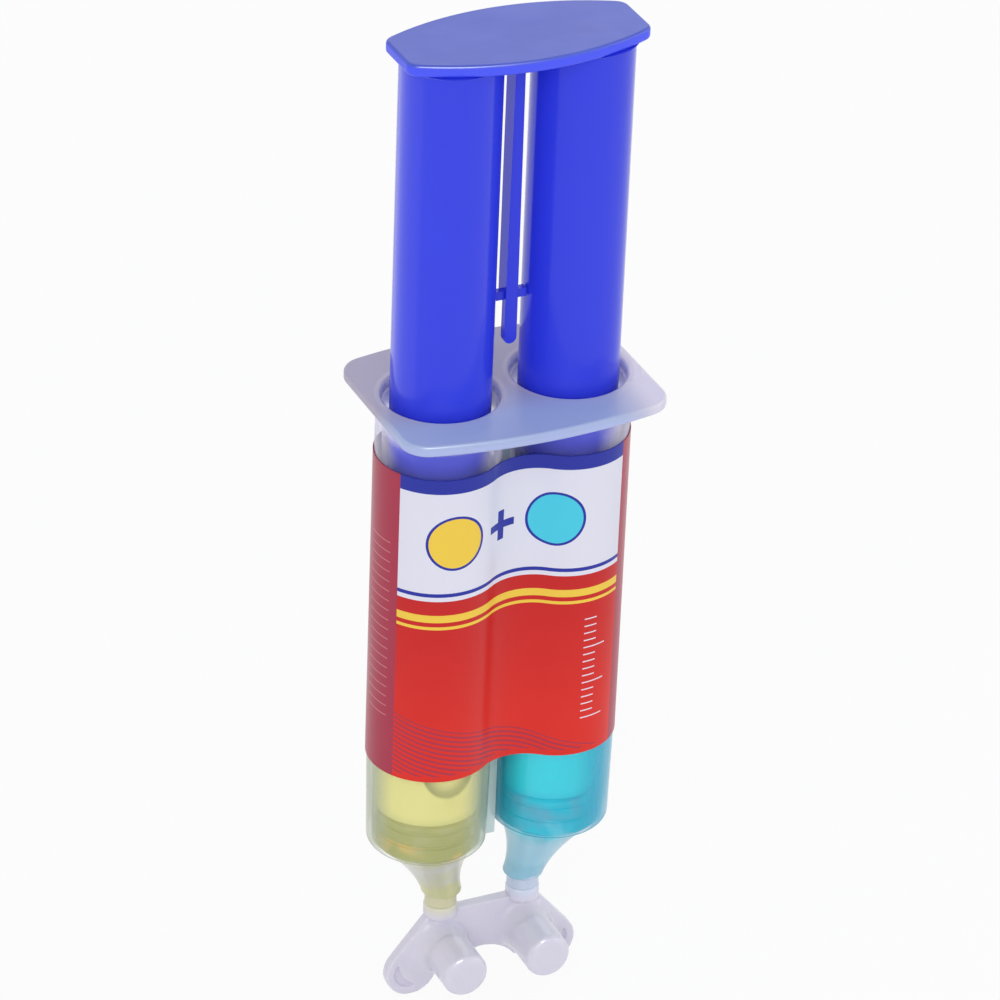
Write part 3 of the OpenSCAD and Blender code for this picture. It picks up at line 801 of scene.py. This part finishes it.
label_r = (label_high.x - label_low.x) / 2 - barrel_x
reach = (barrel_x ** 2 + LABEL_DIP ** 2) / (2 * LABEL_DIP)
valley_r = reach - label_r
valley_y = LABEL_DIP - reach
lean = math.degrees(math.atan2(-valley_y, barrel_x))


def film_line(depth):
    """The film's path seen from above, this deep under its printed face."""
    path = arc((-barrel_x, 0), label_r - depth, 180 - LABEL_END, 360 - lean, FILM_STEPS)
    path += arc((0, valley_y), valley_r + depth, 180 - lean, lean, VALLEY_STEPS)[1:-1]
    path += arc((barrel_x, 0), label_r - depth, 180 + lean, 360 + LABEL_END, FILM_STEPS)
    return path


bm = bmesh.new()
face_uv = bm.loops.layers.uv.new("film")
outer, inner = film_line(0), film_line(LABEL_THICKNESS)
run = [0.0]
for (ax, ay), (bx, by) in zip(outer, outer[1:]):
    run.append(run[-1] + math.hypot(bx - ax, by - ay))
run = [length - run[-1] / 2 for length in run]
walls = [[bm.verts.new((px, py, z)) for px, py in line] for line, z in (
    (outer, label_low.z), (outer, label_high.z), (inner, label_high.z), (inner, label_low.z))]
film_h = label_high.z - label_low.z
rises = (0.0, film_h, film_h, 0.0)
for k in range(len(walls)):
    m = (k + 1) % len(walls)
    for i in range(len(outer) - 1):
        strip = bm.faces.new((walls[k][i], walls[k][i + 1], walls[m][i + 1], walls[m][i]))
        corners = (run[i], rises[k]), (run[i + 1], rises[k]), (run[i + 1], rises[m]), (run[i], rises[m])
        for loop, corner in zip(strip.loops, corners):
            loop[face_uv].uv = corner
for i in (0, -1):
    bm.faces.new([wall[i] for wall in walls])
label = piece_from("printed_label", bm)

label_finish = plastic("printed_film", RED_LOW, roughness=0.3, Specular_IOR_Level=0.25)
tree, tone, _, _, _ = colour_of(label_finish)
film_map = tree.nodes.new("ShaderNodeUVMap")
film_map.uv_map = "film"
film_uv = tree.nodes.new("ShaderNodeSeparateXYZ")
tree.links.new(film_map.outputs["UV"], film_uv.inputs[0])
across, rise = film_uv.outputs["X"], film_uv.outputs["Y"]


def between(value, low, high):
    """1 where a value lies between two others."""
    return calc(tree, "COMPARE", value, (low + high) / 2, (high - low) / 2)


def panel(left, right, low, high):
    """1 inside an upright rectangle of the print."""
    return calc(tree, "MULTIPLY", between(across, left, right), between(rise, low, high))


def from_point(at, height):
    """Distance from a point of the print."""
    return distance(tree, calc(tree, "SUBTRACT", across, at), calc(tree, "SUBTRACT", rise, height))


def repeated(value, pitch, share):
    """1 in even stripes of a value."""
    return calc(tree, "LESS_THAN", calc(tree, "FRACT", calc(tree, "DIVIDE", value, pitch)), share)


tone = ink(tree, tone, RED_TOP, spread(tree, rise, RED_TURNS_AT, FIELD_LOW, 0, 1))
slant = calc(tree, "ADD", rise, calc(tree, "MULTIPLY", across, STRIPE_SLOPE))
striped = calc(tree, "MULTIPLY", repeated(slant, STRIPE_PITCH, STRIPE_SHARE),
               between(slant, *STRIPES_SLANT))
striped = calc(tree, "MULTIPLY", striped, panel(FRONT_LEFT, FRONT_RIGHT, *STRIPES_RISE))
tone = ink(tree, tone, DARK_RED, striped)
for low, high in GOLD_STRIPES:
    tone = ink(tree, tone, GOLD, panel(FRONT_LEFT, FRONT_RIGHT, low, high))
for area, step in ((SHORT_TICKS, 1), (LONG_TICKS, TICKS_TO_LONG)):
    ticks = repeated(rise, step * TICK_PITCH, TICK_SHARE / step)
    tone = ink(tree, tone, WHITE, calc(tree, "MULTIPLY", ticks, panel(*area)))
for colour, low, high in (
        (WHITE, FIELD_LOW, FIELD_HIGH), (NAVY, FIELD_LOW + NAVY_LINE_LOW, FIELD_LOW + NAVY_LINE_HIGH),
        (NAVY, FIELD_HIGH - NAVY_BAND, FIELD_HIGH)):
    tone = ink(tree, tone, colour, panel(FRONT_LEFT, FRONT_RIGHT, low, high))
field_mid = (FIELD_LOW + NAVY_LINE_HIGH + FIELD_HIGH - NAVY_BAND) / 2
for at, drop in ((-DROP_OUT, GOLD), (DROP_OUT, CYAN)):
    away = from_point(at + DROPS_AT, field_mid)
    tone = ink(tree, tone, NAVY, calc(tree, "LESS_THAN", away, DROP_R + DROP_LINE))
    tone = ink(tree, tone, drop, calc(tree, "LESS_THAN", away, DROP_R))
for half_w, half_h in ((PLUS_L, PLUS_T), (PLUS_T, PLUS_L)):
    arm = panel(DROPS_AT - half_w, DROPS_AT + half_w, field_mid - half_h, field_mid + half_h)
    tone = ink(tree, tone, NAVY, arm)
for left, right in ((-PAST_FILM, FRONT_LEFT), (FRONT_RIGHT, PAST_FILM)):
    tone = ink(tree, tone, DARK_RED, between(across, left, right))
rules = calc(tree, "MULTIPLY", repeated(rise, RULE_PITCH, RULE_SHARE), panel(*RULES))
tone = ink(tree, tone, PALE_RED, rules)
recolour(label_finish, tone)
finished(label, label_finish, "barrel_body", "printed_label", "label")

# Closure. A flat milky plate, moulded on under both outlets and snapped off before use. Its lobes
# are for the fingers and dished inside a rim, and it swells out to each cap and collar.
CLOSURE_VOXEL = 0.00016
CLOSURE_SMOOTHING = 14
CLOSURE_COLOUR = (0.725, 0.70, 0.81)
FLARE_WIDTH = 0.0028
FLARE_LENGTH = 0.0036
FLARE_WIDEST = Vector((0.64, 0, -0.77))
FLARE_SHARE = 0.68
FLARE_LEAN = 0.32
LOBE_SHARE = 0.55
LOBE_FOCUS = 3
FLARE_ROOT = 0.0003
FLARE_MARGIN = 0.0002
CAP_OVERLAP = 0.0004
SEAT_DEPTH = 0.0026
SEAT_RISE = 0.0005
SEAT_GAP = 0.0002

closure_look = {"roughness": 0.16, "waviness": 0.00025, "wave_scale": 330, "Subsurface_Weight": 0.5,
                "Subsurface_Radius": (1, 1, 1), "Subsurface_Scale": 0.001}
closure_plastic = plastic("milky_closure", CLOSURE_COLOUR, **closure_look)
cap_low, cap_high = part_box("cap_left")
cap_r = (cap_high.z - cap_low.z) / 2
cap_z = (cap_high.z + cap_low.z) / 2
cap_rear, cap_front = -cap_high.y, -cap_low.y
plate_low, plate_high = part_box("closure_plate")
plate_front = -plate_low.y
collar_low, collar_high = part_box("snap_collar_left")
collar_r = (collar_high.x - collar_low.x) / 2


def turned_forward(name, outline, x, closed=False):
    """A piece turned about a cap's axis, from an outline of (radius, distance forward)."""
    made = turned(name, outline, closed=closed)
    made.data.transform(Matrix.Translation((x, 0, cap_z)) @ Matrix.Rotation(math.pi / 2, 4, "X"))
    return made


def cap_flare(sign):
    """The foot of a cap, widest towards its lobe and never past the plate's outline."""
    outline = [(cap_r - CAP_OVERLAP, cap_rear + CAP_OVERLAP), (cap_r, cap_rear + CAP_OVERLAP)]
    outline += [(cap_r, plate_front - FLARE_ROOT), (cap_r + FLARE_WIDTH, plate_front - FLARE_ROOT)]
    outline += [(cap_r + FLARE_WIDTH * (1 - across), plate_front + FLARE_LENGTH * (1 - rise))
                for across, rise in arc((0, 0), 1, 90, 0)]
    outline += [(cap_r - CAP_OVERLAP, plate_front + FLARE_LENGTH)]
    flare = turned_forward("flare", outline, sign * outlet_x, closed=True)
    in_plate = Vector((sign * outlet_x, plate_high.y - FLARE_MARGIN, cap_z))
    for vertex in flare.data.vertices:
        out = Vector((vertex.co.x - sign * outlet_x, 0, vertex.co.z - cap_z))
        past_cap = out.length - cap_r
        if past_cap > 0:
            out.normalize()
            towards = Vector((sign * out.x, 0, out.z)).dot(FLARE_WIDEST)
            share = FLARE_SHARE + FLARE_LEAN * towards + LOBE_SHARE * max(0, towards) ** LOBE_FOCUS
            to_edge = plate_tree.ray_cast(in_plate + out * (cap_r + FLARE_MARGIN), out)[3] + FLARE_MARGIN
            vertex.co += out * past_cap * (min(share, to_edge / FLARE_WIDTH) - 1)
    return flare


def collar_seat(sign):
    """The slope under a collar, which starts inside the collar and runs out in the plate."""
    outline = [(0, plate_high.z + SEAT_RISE), (collar_r - SEAT_GAP, plate_high.z + SEAT_RISE)]
    outline += [(collar_r - SEAT_GAP, plate_high.z), (plate_high.y / 2, plate_high.z - SEAT_DEPTH)]
    outline += [(0, plate_high.z - SEAT_DEPTH)]
    return turned("seat", outline, sign * outlet_x, outlet_y, sides=64)


plate_mesh = bmesh.new()
plate_mesh.from_mesh(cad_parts["closure_plate"].data)
bmesh.ops.remove_doubles(plate_mesh, verts=plate_mesh.verts, dist=SAME_POINT)
plate_tree = BVHTree.FromBMesh(plate_mesh)
for sign in SIDES.values():
    for form in (cap_flare(sign), collar_seat(sign)):
        plate_mesh.from_mesh(form.data)
        bpy.data.objects.remove(form)
plate = piece_from("closure_moulding", plate_mesh)
remade = plate.modifiers.new("even_skin", "REMESH")
remade.mode = "VOXEL"
remade.voxel_size = CLOSURE_VOXEL
remade.use_smooth_shade = True
eased = plate.modifiers.new("soft_edges", "SMOOTH")
eased.factor = 0.5
eased.iterations = CLOSURE_SMOOTHING
finished(plate, closure_plastic, "closure", "frosted_closure", "closure_plate")

# Collars. A short round stub on the plate under each outlet, moulded on, which ends the passage in
# a shallow pocket. A thin gap on top stands for the line where it snaps off the tip.
COLLAR_ROUND = 0.0006
COLLAR_FOOT = 0.0001
COLLAR_POCKET = 0.0012
COLLAR_TINT_SHARE = 0.8

for side, sign in SIDES.items():
    outline = [(0, collar_low.z)]
    outline += arc((collar_r - COLLAR_FOOT, collar_low.z + COLLAR_FOOT), COLLAR_FOOT, -90, 0)
    outline += arc((collar_r - COLLAR_ROUND, collar_high.z - COLLAR_ROUND), COLLAR_ROUND, 0, 90)
    outline += [(PASSAGE_R, collar_high.z), (PASSAGE_R, collar_high.z - COLLAR_POCKET)]
    outline += [(0, collar_high.z - COLLAR_POCKET)]
    collar = turned(f"{side}_collar", outline, sign * outlet_x, outlet_y)
    collar_plastic = plastic(f"milky_collar_{side}", CLOSURE_COLOUR, **closure_look)
    tree, tone, _, _, height = colour_of(collar_plastic)
    shows = spread(tree, height, collar_low.z + COLLAR_FOOT, collar_high.z, 0, COLLAR_TINT_SHARE)
    recolour(collar_plastic, ink(tree, tone, OUTLET_TINTS[side]["tip"], shows))
    finished(collar, collar_plastic, "closure", "frosted_closure", f"snap_collar_{side}")

# Caps. Two round sockets that stand forward from the plate and open behind it. They are pushed
# onto the outlets' tips to close the syringe again.
CAP_WALL = 0.001
CAP_ROUND = 0.001
SOCKET_DEPTH = 0.008

cap_in_r = cap_r - CAP_WALL
caps = []
for side, sign in SIDES.items():
    outline = [(0, cap_rear + SOCKET_DEPTH), (cap_in_r, cap_rear + SOCKET_DEPTH)]
    outline += [(cap_in_r, cap_rear), (cap_r, cap_rear)]
    outline += arc((cap_r - CAP_ROUND, cap_front - CAP_ROUND), CAP_ROUND, 0, 90)
    outline += [(0, cap_front)]
    cap = turned_forward(f"{side}_cap", outline, sign * outlet_x)
    caps.append(finished(cap, closure_plastic, "closure", "frosted_closure", f"cap_{side}"))
lights_only("lamp_glint", flange, thumb, *caps)
